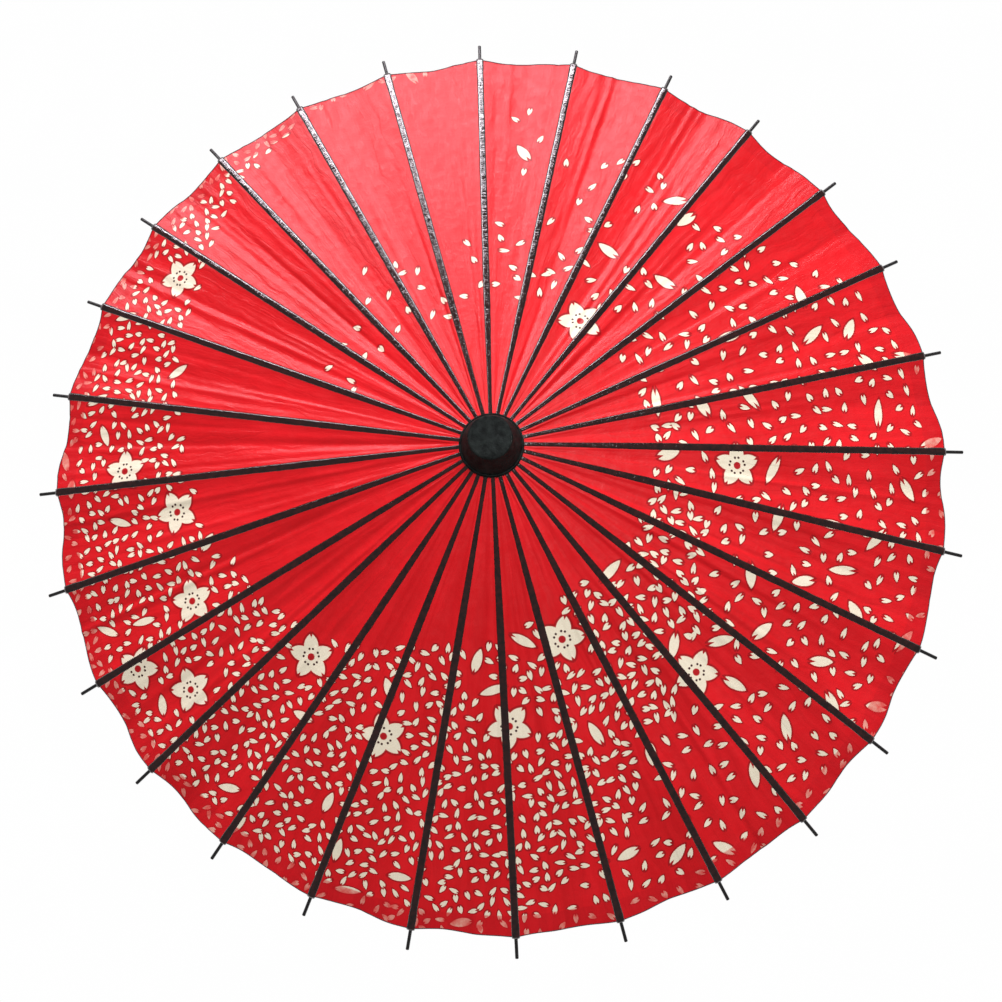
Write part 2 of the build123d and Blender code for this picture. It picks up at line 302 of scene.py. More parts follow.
def petal_group():
    """A group for one petal at the origin that points along x: its mask, dark outline and cleared ground.

    Taper is above 0 where the petal is wider at its outer end. Notch is how far out along the petal its notch
    begins, and Slant how steeply the notch opens. Outline and Ground are how far those reach past the petal."""
    tree = bpy.data.node_groups.new("petal", "ShaderNodeTree")
    tree.interface.new_socket("Offset", in_out="INPUT", socket_type="NodeSocketVector")
    for name in ("Half Length", "Half Width", "Taper", "Notch", "Slant", "Outline", "Ground"):
        tree.interface.new_socket(name, in_out="INPUT", socket_type="NodeSocketFloat")
    for name in ("Mask", "Rim", "Cleared"):
        tree.interface.new_socket(name, in_out="OUTPUT", socket_type="NodeSocketFloat")
    source = tree.nodes.new("NodeGroupInput")
    sink = tree.nodes.new("NodeGroupOutput")
    shader = Shader.__new__(Shader)
    shader.tree = tree
    x, y, _ = shader.split(source.outputs["Offset"])
    along = shader.math("DIVIDE", x, source.outputs["Half Length"])
    across = shader.math("ABSOLUTE", shader.math("DIVIDE", y, source.outputs["Half Width"]))
    belly = shader.math("MULTIPLY_ADD", along, source.outputs["Taper"], 0.85)
    wide = shader.math("DIVIDE", across, belly)
    outline = shader.math("ADD", shader.math("POWER", wide, 1.35), shader.math("MULTIPLY", along, along))
    body = shader.math("SUBTRACT", 1.0, outline)
    cut = shader.math("MULTIPLY_ADD", across, source.outputs["Slant"], source.outputs["Notch"])
    inside = shader.math("MINIMUM", body, shader.math("SUBTRACT", cut, along))
    tree.links.new(shader.scaled(inside, 0.0, 0.14, soft=True), sink.inputs["Mask"])
    edge = shader.math("DIVIDE", inside, source.outputs["Outline"])
    tree.links.new(shader.scaled(edge, -1.0, -0.5, soft=True), sink.inputs["Rim"])
    reach = shader.math("ADD", inside, source.outputs["Ground"])
    tree.links.new(shader.math("GREATER_THAN", reach, 0.0), sink.inputs["Cleared"])
    return tree


def petal_node(shader, petal, offset, size, taper, notch, slant, outline, ground=1.0):
    """One petal of the group, with its inputs set."""
    one = shader.node("ShaderNodeGroup")
    one.node_tree = petal
    values = {"Offset": offset, "Half Length": size[0], "Half Width": size[1], "Taper": taper}
    values.update({"Notch": notch, "Slant": slant, "Outline": outline, "Ground": ground})
    for name, value in values.items():
        shader.feed(one.inputs[name], value)
    return one


def blossom_group(petal):
    """A group: the mask, the dark outline, the red heart and the dark dots of a five-petalled blossom."""
    tree = bpy.data.node_groups.new("blossom", "ShaderNodeTree")
    tree.interface.new_socket("Offset", in_out="INPUT", socket_type="NodeSocketVector")
    tree.interface.new_socket("Turn", in_out="INPUT", socket_type="NodeSocketFloat")
    for name in ("Mask", "Rim", "Heart", "Dots"):
        tree.interface.new_socket(name, in_out="OUTPUT", socket_type="NodeSocketFloat")
    source = tree.nodes.new("NodeGroupInput")
    sink = tree.nodes.new("NodeGroupOutput")
    shader = Shader.__new__(Shader)
    shader.tree = tree
    x, y, _ = shader.split(source.outputs["Offset"])
    sector = 2 * math.pi / 5
    angle = shader.math("ADD", shader.math("ARCTAN2", y, x), source.outputs["Turn"])
    folded = shader.math("SUBTRACT", shader.math("FLOORED_MODULO", angle, sector), sector / 2)
    out = shader.vector("LENGTH", source.outputs["Offset"])
    out = out.node.outputs["Value"]
    u = shader.math("MULTIPLY", out, shader.math("COSINE", folded))
    v = shader.math("MULTIPLY", out, shader.math("SINE", folded))
    centre = shader.join(shader.math("SUBTRACT", u, 0.48 * BLOSSOM_RADIUS), v)
    size = (0.60 * BLOSSOM_RADIUS, 0.43 * BLOSSOM_RADIUS)
    one = petal_node(shader, petal, centre, size, -0.02, 0.72, 1.7, 0.45)
    heart = shader.scaled(out, 0.185 * BLOSSOM_RADIUS, 0.150 * BLOSSOM_RADIUS)
    beyond = shader.math("SUBTRACT", u, 0.36 * BLOSSOM_RADIUS)
    beside = shader.math("SUBTRACT", shader.math("ABSOLUTE", v), 0.085 * BLOSSOM_RADIUS)
    from_dot = shader.vector("LENGTH", shader.join(beyond, beside)).node.outputs["Value"]
    dots = shader.scaled(from_dot, 0.066 * BLOSSOM_RADIUS, 0.044 * BLOSSOM_RADIUS)
    tree.links.new(one.outputs["Mask"], sink.inputs["Mask"])
    tree.links.new(one.outputs["Rim"], sink.inputs["Rim"])
    tree.links.new(heart, sink.inputs["Heart"])
    tree.links.new(dots, sink.inputs["Dots"])
    return tree


def scattered_petals(shader, petal, plan, cell, size, seed, shape, keep):
    """The group node and the printed share of petals scattered one to a cell, at the points plan.

    keep(centre, chance) gives the share that is printed of the petals with that centre."""
    move = (seed, seed * 0.37, 0.0)
    shifted = shader.vector("ADD", plan, move)
    cells = shader.node("ShaderNodeTexVoronoi", voronoi_dimensions="2D", feature="F1")
    shader.feed(cells.inputs["Vector"], shifted)
    cells.inputs["Scale"].default_value = 1 / cell
    cells.inputs["Randomness"].default_value = 0.52
    centre = shader.vector("SUBTRACT", cells.outputs["Position"], move)
    chance, spin, growth = shader.node("ShaderNodeSeparateColor").outputs
    shader.feed(chance.node.inputs[0], cells.outputs["Color"])
    turned = shader.node("ShaderNodeVectorRotate", rotation_type="Z_AXIS")
    shader.feed(turned.inputs["Vector"], shader.vector("SUBTRACT", plan, centre))
    shader.feed(turned.inputs["Angle"], shader.math("MULTIPLY", spin, 2 * math.pi))
    rightward = shader.split(centre)[0]
    wider = shader.scaled(rightward, -0.15, 0.15, 0.92, 1.08)
    long = shader.math("MULTIPLY", wider, shader.scaled(growth, 0, 1, 0.84 * size[0], 1.12 * size[0]))
    broad = shader.math("MULTIPLY", wider, shader.scaled(growth, 0, 1, 1.14 * size[1], 0.88 * size[1]))
    notch, *others = shape[1:]
    notch = shader.scaled(rightward, -0.15, 0.12, notch, 0.6 * notch)
    one = petal_node(shader, petal, turned.outputs[0], (long, broad), shape[0], notch, *others)
    return one, keep(centre, chance)


def turn_and_distance(shader, plan):
    """Share of a turn, and the distance from the shaft in metres, of a point in plan."""
    x, y, _ = shader.split(plan)
    angle = shader.math("ARCTAN2", y, x)
    turn = shader.math("FLOORED_MODULO", shader.math("DIVIDE", angle, 2 * math.pi), 1.0)
    distance = shader.vector("LENGTH", shader.join(x, y)).node.outputs["Value"]
    return turn, distance


def clear_of_blossoms(shader, centre, gap):
    """1 where a point is further than gap from every blossom's middle."""
    nearest = 1.0
    for degrees, millimetres, _ in BLOSSOMS:
        middle = polar(millimetres / 1000, math.radians(degrees), 0)
        away = shader.vector("DISTANCE", centre, tuple(middle)).node.outputs["Value"]
        nearest = shader.math("MINIMUM", nearest, away)
    return shader.math("GREATER_THAN", nearest, gap)


def zones(shader, centre, chance):
    """At a petal's centre: 1 in the drift, 1 in its dense part, 1 among the strays, then the sparse share."""
    turn, distance = turn_and_distance(shader, centre)
    reach = shader.math("DIVIDE", distance, PATTERN_SIZE / 1000)
    rows = [(row[0], *(value / PATTERN_SIZE for value in row[1:4]), row[4]) for row in DRIFT]
    colour, share = angle_ramp(shader, turn, rows)
    start, dense, end = shader.node("ShaderNodeSeparateColor").outputs
    shader.feed(start.node.inputs[0], colour)
    inside = shader.math("GREATER_THAN", reach, start)
    inside = shader.math("MULTIPLY", inside, shader.math("LESS_THAN", reach, end))
    uneven = shader.math("MULTIPLY_ADD", chance, ZONE_EDGE, -0.5 * ZONE_EDGE)
    crowded = shader.math("LESS_THAN", reach, shader.math("ADD", dense, uneven))
    rows = [(row[0], row[1] / PATTERN_SIZE, row[2] / PATTERN_SIZE, 0.0, 1.0) for row in STRAYS]
    near, far, _ = shader.node("ShaderNodeSeparateColor").outputs
    shader.feed(near.node.inputs[0], angle_ramp(shader, turn, rows)[0])
    stray = shader.math("GREATER_THAN", reach, near)
    stray = shader.math("MULTIPLY", stray, shader.math("LESS_THAN", reach, far))
    return inside, crowded, stray, share


def large_petals(shader, petal, points):
    """The group node and printed share of the large petals at these points."""

    def keep(centre, chance):
        inside = zones(shader, centre, chance)[0]
        printed = shader.math("MULTIPLY", inside, shader.math("LESS_THAN", chance, LARGE_SHARE))
        clear = clear_of_blossoms(shader, centre, BLOSSOM_RADIUS + 0.75 * LARGE_PETAL[0])
        return shader.math("MULTIPLY", printed, clear)

    return scattered_petals(
        shader, petal, points, LARGE_CELL, LARGE_PETAL, LARGE_SEED, (0.10, 0.76, 1.6, 0.5, 1.9), keep
    )


def small_petals(shader, petal, points, crowded):
    """The group node and printed share of the dense small petals, or else of the sparse ones and the strays.

    They leave room for the blossoms and the large petals."""

    def keep(centre, chance):
        inside, dense, stray, share = zones(shader, centre, chance)
        if crowded:
            printed = shader.math("MULTIPLY", dense, shader.math("LESS_THAN", chance, DENSE_SHARE))
            printed = shader.math("MULTIPLY", printed, inside)
        else:
            printed = shader.math("MULTIPLY", shader.math("SUBTRACT", 1.0, dense), inside)
            printed = shader.math("MULTIPLY", printed, shader.math("LESS_THAN", chance, share))
            stray = shader.math("MULTIPLY", stray, shader.math("LESS_THAN", chance, STRAY_SHARE))
            printed = shader.math("MAXIMUM", printed, stray)
        clear = clear_of_blossoms(shader, centre, BLOSSOM_RADIUS + 0.7 * SMALL_PETAL[0])
        large, taken = large_petals(shader, petal, centre)
        room = shader.math("SUBTRACT", 1.0, shader.math("MULTIPLY", large.outputs["Cleared"], taken))
        return shader.math("MULTIPLY", printed, shader.math("MULTIPLY", clear, room))

    cell, seed = (SMALL_CELL, SMALL_SEED) if crowded else (SPARSE_CELL, SPARSE_SEED)
    return scattered_petals(shader, petal, points, cell, SMALL_PETAL, seed, (0.24, 0.50, 1.3, 0.9), keep)


def printed_pattern(shader, plan):
    """Masks of the pattern: the cream print, its dark outline, and the hearts and dots of the blossoms."""
    petal = petal_group()
    blossom = blossom_group(petal)
    mask, rim, hearts, dots = 0.0, 0.0, 0.0, 0.0
    scatters = [small_petals(shader, petal, plan, crowded) for crowded in (True, False)]
    for one, printed in (*scatters, large_petals(shader, petal, plan)):
        mask = shader.math("MAXIMUM", mask, shader.math("MULTIPLY", one.outputs["Mask"], printed))
        rim = shader.math("MAXIMUM", rim, shader.math("MULTIPLY", one.outputs["Rim"], printed))
    for degrees, millimetres, turn in BLOSSOMS:
        middle = polar(millimetres / 1000, math.radians(degrees), 0)
        one = shader.node("ShaderNodeGroup")
        one.node_tree = blossom
        shader.feed(one.inputs["Offset"], shader.vector("SUBTRACT", plan, tuple(middle)))
        one.inputs["Turn"].default_value = math.radians(turn)
        mask = shader.math("MAXIMUM", mask, one.outputs["Mask"])
        rim = shader.math("MAXIMUM", rim, one.outputs["Rim"])
        hearts = shader.math("MAXIMUM", hearts, one.outputs["Heart"])
        dots = shader.math("MAXIMUM", dots, shader.math("MULTIPLY", one.outputs["Mask"], one.outputs["Dots"]))
    return mask, rim, hearts, dots


def paper_material():
    """Red oiled paper with fine radial wrinkles and painted shade in them, printed with cream cherry petals and
    blossoms.
    """
    shader = Shader("oiled_red_paper")
    plan = shader.attribute("plan")
    mask, rim, hearts, dots = printed_pattern(shader, plan)

    _, distance = turn_and_distance(shader, plan)
    across, panel, _ = shader.split(shader.attribute("fold"))
    wander = shader.math("SUBTRACT", shader.noise(plan, 26.0, 2.0, 0.5), 0.5)
    lane = shader.math("MULTIPLY", shader.math("MULTIPLY_ADD", wander, 0.014, across), 95.0)
    along = shader.math("MULTIPLY", distance, 10.0)
    offset = shader.math("MULTIPLY", panel, 5.3)
    wrinkles = shader.noise(shader.join(along, lane, offset), 1.0, 3.0, 0.5)
    from_ridge = shader.math("ABSOLUTE", shader.math("SUBTRACT", wrinkles, 0.5))
    ridges_and_shade = shader.scaled(from_ridge, 0.0, 0.035, 1.0, 0.0)
    crumple = shader.noise(plan, 95.0, 4.0, 0.6)
    patches = shader.noise(plan, 9.0, 3.0, 0.5)
    fibres = shader.noise(plan, 900.0, 2.0, 0.6)

    red = shader.mix(shader.scaled(patches, 0.3, 0.7), (0.60, 0.0045, 0.0085), (0.72, 0.008, 0.014))
    # Painted shade: the red is darker in the wrinkles' troughs, and a little darker along the crease lines.
    red = shader.mix(shader.scaled(wrinkles, 0.34, 0.60, 0.30, 0.0), red, (0.40, 0.002, 0.004))
    red = shader.mix(shader.math("MULTIPLY", ridges_and_shade, 0.11), red, (0.36, 0.002, 0.004))
    cream = shader.mix(shader.scaled(fibres, 0.3, 0.7), (0.76, 0.66, 0.50), (0.84, 0.76, 0.61))
    hem = shader.scaled(distance, PAPER_RADIUS - HEM_WIDTH - 0.0006, PAPER_RADIUS - HEM_WIDTH + 0.0006)
    faded = shader.math("MULTIPLY", hem, shader.scaled(crumple, 0.35, 0.6, 0.50, 0.88))
    cream = shader.mix(faded, cream, red)
    red = shader.mix(shader.math("MULTIPLY", hem, 0.24), red, (0.40, 0.002, 0.008))
    outline = shader.math("MULTIPLY", shader.math("SUBTRACT", rim, mask, clamp=True), 0.55)
    outline = shader.math("MULTIPLY", outline, shader.math("MULTIPLY_ADD", hem, -0.7, 1.0))
    colour = shader.mix(outline, red, (0.12, 0.002, 0.004))
    colour = shader.mix(mask, colour, cream)
    colour = shader.mix(hearts, colour, (0.42, 0.006, 0.010))
    colour = shader.mix(dots, colour, (0.045, 0.008, 0.008))

    height = shader.math("MULTIPLY_ADD", wrinkles, 0.7, shader.math("MULTIPLY", crumple, 0.36))
    height = shader.math("MULTIPLY_ADD", ridges_and_shade, 0.04, height)
    height = shader.math("MULTIPLY_ADD", fibres, 0.02, height)
    shader.bump(height, 0.0028, 0.6)
    roughness = shader.scaled(crumple, 0.3, 0.7, 0.33, 0.46)
    return shader.finish(Base_Color=colour, Roughness=roughness, Specular_IOR_Level=0.38)


def lacquer_material():
    """Brushed black lacquer over the ribs: glossy, with brush ridges and small pits."""
    shader = Shader("black_lacquer")
    place = shader.place()
    turn, distance = turn_and_distance(shader, place)
    drag = shader.noise(place, 240.0, 3.0, 0.6)
    pits = shader.noise(place, 1500.0, 2.0, 0.6)
    steps = shader.join(shader.math("MULTIPLY", distance, 750.0), shader.math("MULTIPLY", turn, 180.0))
    strands = shader.noise(steps, 1.0, 2.0, 0.5)
    colour = shader.mix(shader.scaled(drag, 0.35, 0.7), (0.0060, 0.0010, 0.0010), (0.030, 0.0055, 0.0050))
    height = shader.math("MULTIPLY_ADD", pits, 0.10, shader.math("MULTIPLY", drag, 0.5))
    height = shader.math("ADD", strands, height)
    shader.bump(height, 0.0004, 0.6)
    roughness = shader.scaled(pits, 0.3, 0.7, 0.07, 0.16)
    return shader.finish(
        Base_Color=colour, Roughness=roughness, Specular_IOR_Level=0.9, Coat_Weight=0.5, Coat_Roughness=0.09
    )


def crown_material():
    """Rough matte black lacquer on the crown."""
    shader = Shader("rough_black_crown")
    place = shader.place()
    grit = shader.noise(place, 1100.0, 4.0, 0.7)
    lumps = shader.noise(place, 170.0, 3.0, 0.6)
    colour = shader.mix(shader.scaled(lumps, 0.35, 0.68), (0.002, 0.003, 0.003), (0.014, 0.018, 0.017))
    shader.bump(shader.math("MULTIPLY_ADD", grit, 0.35, lumps), 0.0016, 0.7)
    roughness = shader.scaled(grit, 0.3, 0.7, 0.5, 0.8)
    return shader.finish(Base_Color=colour, Roughness=roughness, Specular_IOR_Level=0.10)


def thread_material():
    """Dark plum thread."""
    shader = Shader("dark_thread")
    place = shader.place()
    strands = shader.noise(place, 2600.0, 2.0, 0.5)
    colour = shader.mix(shader.scaled(strands, 0.35, 0.65), (0.030, 0.008, 0.012), (0.085, 0.020, 0.028))
    shader.bump(strands, 0.0003, 0.7)
    return shader.finish(Base_Color=colour, Roughness=0.75)


def bamboo_material(name, light, dark, black_from=None):
    """Split bamboo with fibres and a joint now and then, stained black past black_from metres out."""
    shader = Shader(name)
    place = shader.place()
    z = shader.split(place)[2]
    turn, distance = turn_and_distance(shader, place)
    lane = shader.math("MULTIPLY", turn, 2 * math.pi * 330.0)
    level = shader.math("MULTIPLY", shader.math("MULTIPLY_ADD", distance, math.tan(SLOPE), z), 900.0)
    fibres = shader.noise(shader.join(shader.math("MULTIPLY", distance, 14.0), lane, level), 1.0, 4.0, 0.65)
    stains = shader.noise(place, 45.0, 3.0, 0.6)
    colour = shader.mix(shader.scaled(fibres, 0.34, 0.66), dark, light)
    colour = shader.mix(shader.scaled(stains, 0.45, 0.75, 0.0, 0.45), colour, dark)
    phase = shader.math("FLOORED_MODULO", shader.math("ADD", distance, 0.031), 0.117)
    off_joint = shader.math("ABSOLUTE", shader.math("SUBTRACT", phase, 0.06))
    joint = shader.scaled(off_joint, 0.0010, 0.0026, 0.65, 0.0)
    colour = shader.mix(joint, colour, tuple(0.35 * value for value in dark))
    roughness = shader.scaled(fibres, 0.3, 0.7, 0.42, 0.60)
    if black_from is not None:
        black = shader.scaled(distance, black_from, black_from + 0.0015)
        colour = shader.mix(black, colour, (0.010, 0.009, 0.009))
        roughness = shader.math("SUBTRACT", roughness, shader.math("MULTIPLY", black, 0.12))
    shader.bump(fibres, 0.0004, 0.6)
    return shader.finish(Base_Color=colour, Roughness=roughness)


def turned_wood_material(name, light, dark, coat):
    """Lacquered turned wood with long grain up the shaft."""
    shader = Shader(name)
    x, y, z = shader.split(shader.place())
    grain = shader.join(
        shader.math("MULTIPLY", x, 420.0), shader.math("MULTIPLY", y, 420.0), shader.math("MULTIPLY", z, 16.0)
    )
    streaks = shader.noise(grain, 1.0, 5.0, 0.65)
    rings = shader.noise(shader.join(0.0, 0.0, shader.math("MULTIPLY", z, 700.0)), 1.0, 2.0, 0.5)
    colour = shader.mix(shader.scaled(streaks, 0.34, 0.66), dark, light)
    shader.bump(shader.math("MULTIPLY_ADD", rings, 0.35, streaks), 0.0003, 0.55)
    return shader.finish(
        Base_Color=colour, Roughness=shader.scaled(streaks, 0.3, 0.7, 0.30, 0.48), Coat_Weight=coat
    )


def brass_material():
    """Worn brass spring metal."""
    shader = Shader("worn_brass")
    place = shader.place()
    wear = shader.noise(place, 380.0, 4.0, 0.7)
    colour = shader.mix(shader.scaled(wear, 0.35, 0.7), (0.62, 0.40, 0.15), (0.30, 0.17, 0.06))
    shader.bump(wear, 0.0002, 0.4)
    return shader.finish(Base_Color=colour, Metallic=1.0, Roughness=shader.scaled(wear, 0.3, 0.7, 0.25, 0.5))


# ---------------------------------------------------------------- meshes


def grid_object(name, rows, material, closed=False):
    """A mesh object from rows of points, with smooth faces. closed joins each row's ends."""
    count = len(rows[0])
    mesh = bpy.data.meshes.new(name)
    faces = []
    for i in range(len(rows) - 1):
        for j in range(count if closed else count - 1):
            after = (j + 1) % count
            faces.append((i * count + j, i * count + after, (i + 1) * count + after, (i + 1) * count + j))
    mesh.from_pydata([tuple(point) for row in rows for point in row], [], faces)
    mesh.polygons.foreach_set("use_smooth", [True] * len(mesh.polygons))
    mesh.materials.append(material)
    made = bpy.data.objects.new(name, mesh)
    bpy.context.scene.collection.objects.link(made)
    return made


def fold_with_rib(piece, number):
    """piece moves with a rib, and gets a mesh of its own."""
    angle = number * PITCH
    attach(piece, f"rib_{number + 1:02d}")
    tuple(polar(PIVOT_RADIUS, angle, PIVOT_Z))
    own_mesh(piece)


def make_wrinkles(rng):
    """Long creases of one panel: place across it, drift, height, width and the stretch that each one covers."""
    made = []
    for _ in range(rng.randint(5, 8)):
        middle = rng.uniform(0.15, 0.95)
        made.append(
            {
                "across": rng.uniform(0.08, 0.92),
                "drift": rng.uniform(-0.10, 0.10),
                "height": rng.choice((-1, 1)) * rng.uniform(0.0004, 0.0011),
                "width": rng.uniform(0.0018, 0.0034),
                "middle": middle,
                "reach": rng.uniform(0.18, 0.45),
            }
        )
    return made


def paper_point(number, across, along, wrinkles):
    """A point of panel number, across it from 0 to 1 and out along it from 0 to 1."""
    angle = number * PITCH
    lean = math.cos(angle + PITCH / 2)
    rim = RIM_WAVE * lean * math.sin(2 * math.pi * across)
    rim += 0.0007 * math.sin(3 * math.pi * across + number * 2.1) * math.sin(math.pi * across)
    radius = INNER_RADIUS + (PAPER_RADIUS + rim * along**3 - INNER_RADIUS) * along
    first = polar(radius, angle, paper_z(radius))
    last = polar(radius, angle + PITCH, paper_z(radius))
    point = first.lerp(last, across)
    width = (last - first).length
    from_rib = min(across, 1 - across) * width
    span = max(width / 2 - RIB_HALF_WIDTH, 1e-6)
    inward = min(max((from_rib - RIB_HALF_WIDTH) / span, 0.0), 1.0)
    bowl = inward * (2 - inward)
    drop = SAG_SHARE * width * bowl + CREASE_SHARE * width * inward**3
    lift = 0.0
    for crease in wrinkles:
        place = crease["across"] + crease["drift"] * (along - crease["middle"])
        away = (across - place) * width
        ends = math.exp(-(((along - crease["middle"]) / crease["reach"]) ** 2))
        lift += crease["height"] * ends * math.exp(-((away / crease["width"]) ** 2))
    ripple = noise.noise(Vector((radius * 22, across * width * 130, number * 3.7)))
    lift += 0.00045 * ripple
    return point + Vector((0, 0, (lift * smooth(inward * 3)) - drop))


def make_panel(number, material):
    """One sheet of paper from a rib to the next."""
    wrinkles = make_wrinkles(random.Random(100 + number))
    rows, plan, fold = [], [], []
    for i in range(ALONG + 1):
        row = []
        for j in range(ACROSS + 1):
            point = paper_point(number, j / ACROSS, i / ALONG, wrinkles)
            row.append(point)
            plan += [point.x, point.y, 0.0]
            width = 2 * math.hypot(point.x, point.y) * math.sin(PITCH / 2)
            fold += [(j / ACROSS - 0.5) * width, float(number), 0.0]
        rows.append(row)
    panel = grid_object(f"paper_{number + 1:02d}", rows, material)
    for name, values in (("plan", plan), ("fold", fold)):
        attribute = panel.data.attributes.new(name, "FLOAT_VECTOR", "POINT")
        attribute.data.foreach_set("vector", values)
    return panel, rows[-1]


def make_rim_thread(number, rim, material):
    """The thread rolled into the paper's rim: a thin tube along the panel's outer edge."""
    radius, sides = 0.00045, 8
    rows = []
    for index, point in enumerate(rim):
        forward = (rim[min(index + 1, len(rim) - 1)] - rim[max(index - 1, 0)]).normalized()
        side = forward.cross(Vector((0, 0, 1))).normalized()
        up = side.cross(forward)
        turns = (2 * math.pi * step / sides for step in range(sides))
        rows.append([point + radius * (side * math.cos(turn) + up * math.sin(turn)) for turn in turns])
    thread = grid_object(f"rim_thread_{number + 1:02d}", rows, material, closed=True)
    return thread


def make_band(number, material):
    """The raised band of lacquer over a rib, with uneven edges, closed at both ends."""
    angle = number * PITCH
    outward = Vector((math.cos(angle), math.sin(angle), -math.tan(SLOPE))).normalized()
    sideways = Vector((-math.sin(angle), math.cos(angle), 0))
    up = outward.cross(sideways).normalized()
    end_radius = PAPER_RADIUS + 0.0011
    rows = []
    for i in range(BAND_STEPS + 1):
        share = i / BAND_STEPS
        radius = BAND_START_RADIUS + (end_radius - BAND_START_RADIUS) * share
        grown = smooth((radius - BAND_START_RADIUS) / (BAND_FULL_WIDTH_RADIUS - BAND_START_RADIUS))
        width = BAND_START_WIDTH + (BAND_WIDTH - BAND_START_WIDTH) * grown
        width *= 1 + 0.10 * smooth((radius - PAPER_RADIUS + 0.018) / 0.010)
        start = polar(radius, angle, paper_z(radius))
        height = BAND_HEIGHT * (0.6 + 0.4 * grown) * smooth(share * 25 + 0.6)
        row = []
        for j in range(BAND_PROFILE_POINTS):
            side = 2 * j / (BAND_PROFILE_POINTS - 1) - 1
            shape = (1 - abs(side) ** 3.2) ** 0.55 if abs(side) < 1 else 0.0
            edge = 0.06 * noise.noise(Vector((radius * 160, 4.0 * round(side), number * 9.1)))
            lump = 0.16 * noise.noise(Vector((radius * 240, side * 1.4, number * 5.3)))
            rise = height * shape * (1 + lump) - 0.0002 * (1 - shape)
            row.append(start + sideways * (side * (1 + edge) * width / 2) + up * rise)
        rows.append(row)
    rows.insert(0, [point - up * 0.0006 for point in rows[0]])
    rows.append([point - up * 0.0026 for point in rows[-1]])
    band = grid_object(f"lacquer_band_{number + 1:02d}", rows, material)
    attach(band, f"rib_{number + 1:02d}")
    return band


def lathe(name, profile, material, steps, roughen=None):
    """A surface turned round the shaft's axis from (radius, z) points. roughen gives moves along the radius."""
    rows = []
    for radius, z in profile:
        row = []
        for step in range(steps):
            angle = 2 * math.pi * step / steps
            shift = roughen(radius, angle, z) if roughen else 0.0
            row.append(polar(radius + shift, angle, z))
        rows.append(row)
    return grid_object(name, rows, material, closed=True)


def make_crown_skin(material):
    """The rough lacquered skin over the turned crown, with a rounded shoulder and a slightly uneven top."""
    lip_z = paper_z(CROWN_BASE_RADIUS) + 0.0010
    top_z = CROWN_TOP_Z + CROWN_SKIN
    shoulder = 0.0022
    slope = (CROWN_BASE_RADIUS - CROWN_TOP_RADIUS) / (top_z - lip_z)
    profile = [(CROWN_BASE_RADIUS + 2 * CROWN_SKIN, lip_z - 0.0003)]
    for i in range(21):
        z = lip_z + (top_z - shoulder - lip_z) * i / 20
        profile.append((CROWN_BASE_RADIUS + 2 * CROWN_SKIN - slope * (z - lip_z), z))
    side_radius = profile[-1][0]
    for i in range(1, 9):
        turn = math.pi / 2 * i / 8
        inward, down = shoulder * (1 - math.cos(turn)), shoulder * (1 - math.sin(turn))
        profile.append((side_radius - inward, top_z - down))
    flat_radius = profile[-1][0]
    for i in range(1, 13):
        profile.append((flat_radius * (1 - i / 12) + 1e-5, top_z))

    def roughen(radius, angle, z):
        around = Vector((math.cos(angle) * 6, math.sin(angle) * 6, z * 300))
        return 0.00022 * noise.noise(around) * smooth(radius / 0.012)

    skin = lathe("crown_skin", profile, material, 120, roughen)
    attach(skin, "stem")


def make_crown_cord(material):
    """The lacquered cord laid round the crown's foot: two turns of twisted cord."""
    for index, (ring, z) in enumerate(((0.0258, 0.00115), (0.0254, 0.0027))):
        centre_z = paper_z(ring) + z
        rows = []
        for step in range(241):
            angle = 2 * math.pi * step / 240
            row = []
            for side in range(10):
                turn = 2 * math.pi * side / 10
                strand = 1 + 0.16 * math.sin(3 * turn + 60 * angle)
                size = 0.00085 * strand
                row.append(polar(ring + size * math.cos(turn), angle, centre_z + size * math.sin(turn)))
            rows.append(row)
        cord = grid_object(f"crown_cord_{index + 1}", rows, material, closed=True)
        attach(cord, "stem")


def paint_nodes():
    """Gives each CAD node that stays its material."""
    rib = bamboo_material("rib_bamboo", (0.56, 0.36, 0.16), (0.34, 0.19, 0.075), PAPER_RADIUS - 0.0005)
    stretcher = bamboo_material("stretcher_bamboo", (0.60, 0.40, 0.19), (0.38, 0.22, 0.09))
    shaft = turned_wood_material("shaft_lacquer", (0.055, 0.030, 0.022), (0.016, 0.010, 0.009), 0.35)
    runner = turned_wood_material("runner_wood", (0.10, 0.052, 0.030), (0.036, 0.019, 0.013), 0.25)
    brass = brass_material()
    for name, node in frame["nodes"].items():
        material = {"shaft_and_head": shaft, "runner": runner, "catch": brass}.get(name)
        if material is None:
            material = rib if name.startswith("rib_") else stretcher
        node.data.materials.clear()
        node.data.materials.append(material)


# ---------------------------------------------------------------- camera, light and backdrop

CAMERA_ELEVATION = math.radians(79.7)
CAMERA_AZIMUTH = math.radians(-4.35)
CAMERA_ROLL = math.radians(-11.0)
CAMERA_DISTANCE = 2.8 * TIP_RADIUS
VIEW_HALF_WIDTH = 1.0856 * TIP_RADIUS  # at the plane of the rib tips
FLOOR_Z = -3.0
SURROUND_LIGHT = 0.15


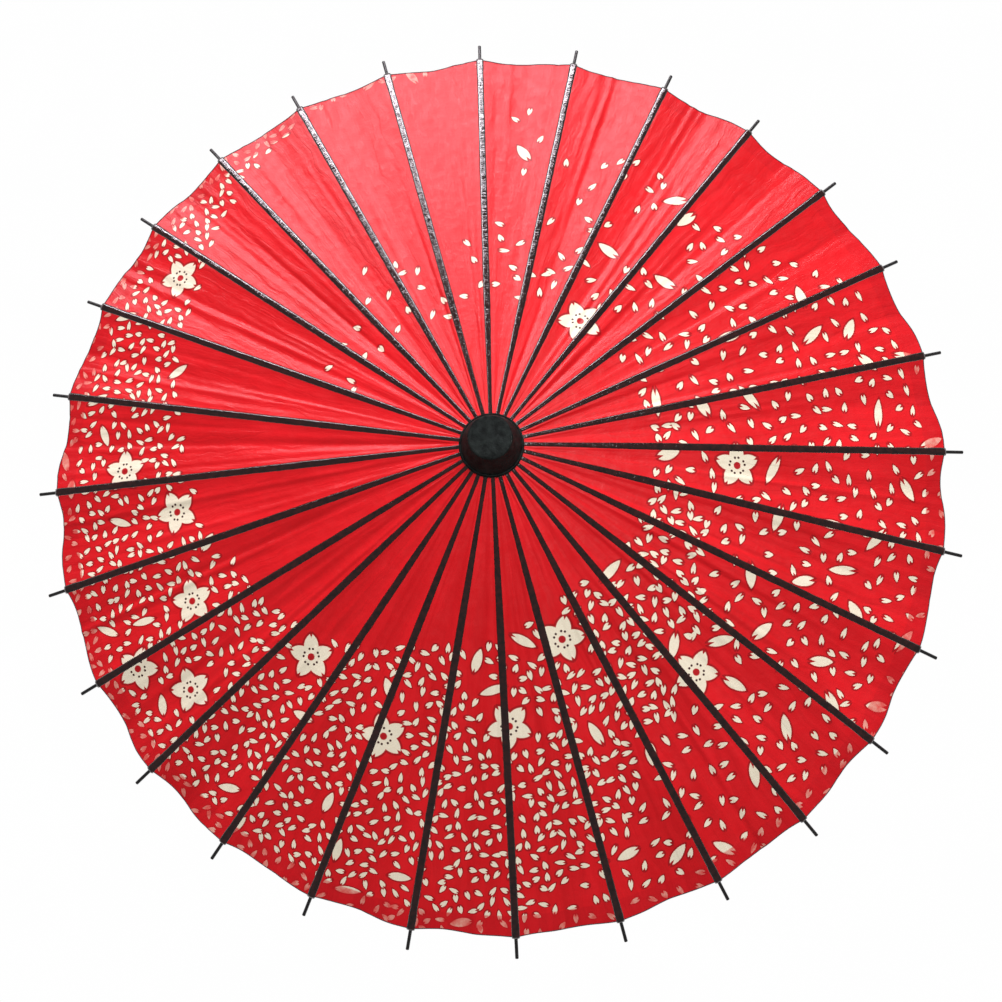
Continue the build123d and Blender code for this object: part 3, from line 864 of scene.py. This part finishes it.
def make_camera():
    """The camera looks steeply down on the crown, from the front."""
    data = bpy.data.cameras.new("camera")
    camera = bpy.data.objects.new("camera", data)
    bpy.context.scene.collection.objects.link(camera)
    level, rise = math.cos(CAMERA_ELEVATION), math.sin(CAMERA_ELEVATION)
    turn = Matrix.Rotation(CAMERA_AZIMUTH, 3, "Z")
    back = turn @ Vector((0, -level, rise))
    up = turn @ Vector((0, rise, level))
    right = turn @ Vector((1, 0, 0))
    axes = Matrix((right, up, back)).transposed() @ Matrix.Rotation(CAMERA_ROLL, 3, "Z")
    camera.matrix_world = Matrix.Translation(Vector((0, 0, TIP_Z)) + back * CAMERA_DISTANCE) @ axes.to_4x4()
    data.sensor_width = 36
    data.lens = data.sensor_width / 2 * CAMERA_DISTANCE / VIEW_HALF_WIDTH
    data.shift_x, data.shift_y = 0.0039, -0.0270
    data.dof.use_dof = False
    bpy.context.scene.camera = camera


def area_light(name, place, aim, size, power, colour):
    """A soft light with the size (width, height), turned to the point aim."""
    data = bpy.data.lights.new(name, "AREA")
    data.shape = "RECTANGLE"
    data.size, data.size_y = size
    data.energy = power
    data.color = colour
    light = bpy.data.objects.new(name, data)
    light.location = place
    light.rotation_euler = (Vector(aim) - Vector(place)).to_track_quat("-Z", "Y").to_euler()
    bpy.context.scene.collection.objects.link(light)


def make_stage():
    """A white floor far below, a surround that looks white but gives little light, and soft lights.

    The large light behind the umbrella gives the paper its sheen and the lacquer its glints."""
    bpy.ops.mesh.primitive_plane_add(size=60, location=(0, 0, FLOOR_Z))
    floor = bpy.context.object
    floor.name = "floor"
    shader = Shader("white_floor")
    speckle = shader.noise(shader.place(), 3.0, 2.0, 0.5)
    emission = shader.node("ShaderNodeEmission")
    shader.feed(emission.inputs["Color"], shader.mix(speckle, (1.0, 1.0, 1.0), (0.99, 0.99, 0.99)))
    shader.feed(shader.tree.nodes["Material Output"].inputs["Surface"], emission.outputs[0])
    floor.data.materials.append(shader.material)
    world = bpy.data.worlds.new("surround")
    bpy.context.scene.world = world
    world.use_nodes = True
    tree = world.node_tree
    seen = tree.nodes.new("ShaderNodeLightPath").outputs["Is Camera Ray"]
    strength = tree.nodes.new("ShaderNodeMapRange")
    tree.links.new(seen, strength.inputs["Value"])
    strength.inputs["To Min"].default_value = SURROUND_LIGHT
    tree.links.new(strength.outputs[0], tree.nodes["Background"].inputs["Strength"])
    tree.nodes["Background"].inputs["Color"].default_value = (1, 1, 1, 1)
    area_light("sheen", (0.15, 2.6, 1.35), (0, 0.15, 0.45), (3.3, 0.34), 72, (1.0, 0.90, 0.98))
    area_light("key", (0.5, 0.45, 2.8), (0, 0, 0.4), (1.1, 1.1), 64, (1.0, 1.0, 1.0))
    bpy.context.scene.view_settings.view_transform = "Standard"
    bpy.context.scene.view_settings.look = "None"


# ---------------------------------------------------------------- assembly

make_camera()
make_stage()
paint_nodes()
paper, lacquer, thread = paper_material(), lacquer_material(), thread_material()
for number in range(RIB_COUNT):
    panel, rim = make_panel(number, paper)
    fold_with_rib(panel, number)
    rim_thread = make_rim_thread(number, rim, thread)
    fold_with_rib(rim_thread, number)
    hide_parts("canopy")
    make_band(number, lacquer)
crown = crown_material()
make_crown_skin(crown)
make_crown_cord(crown)
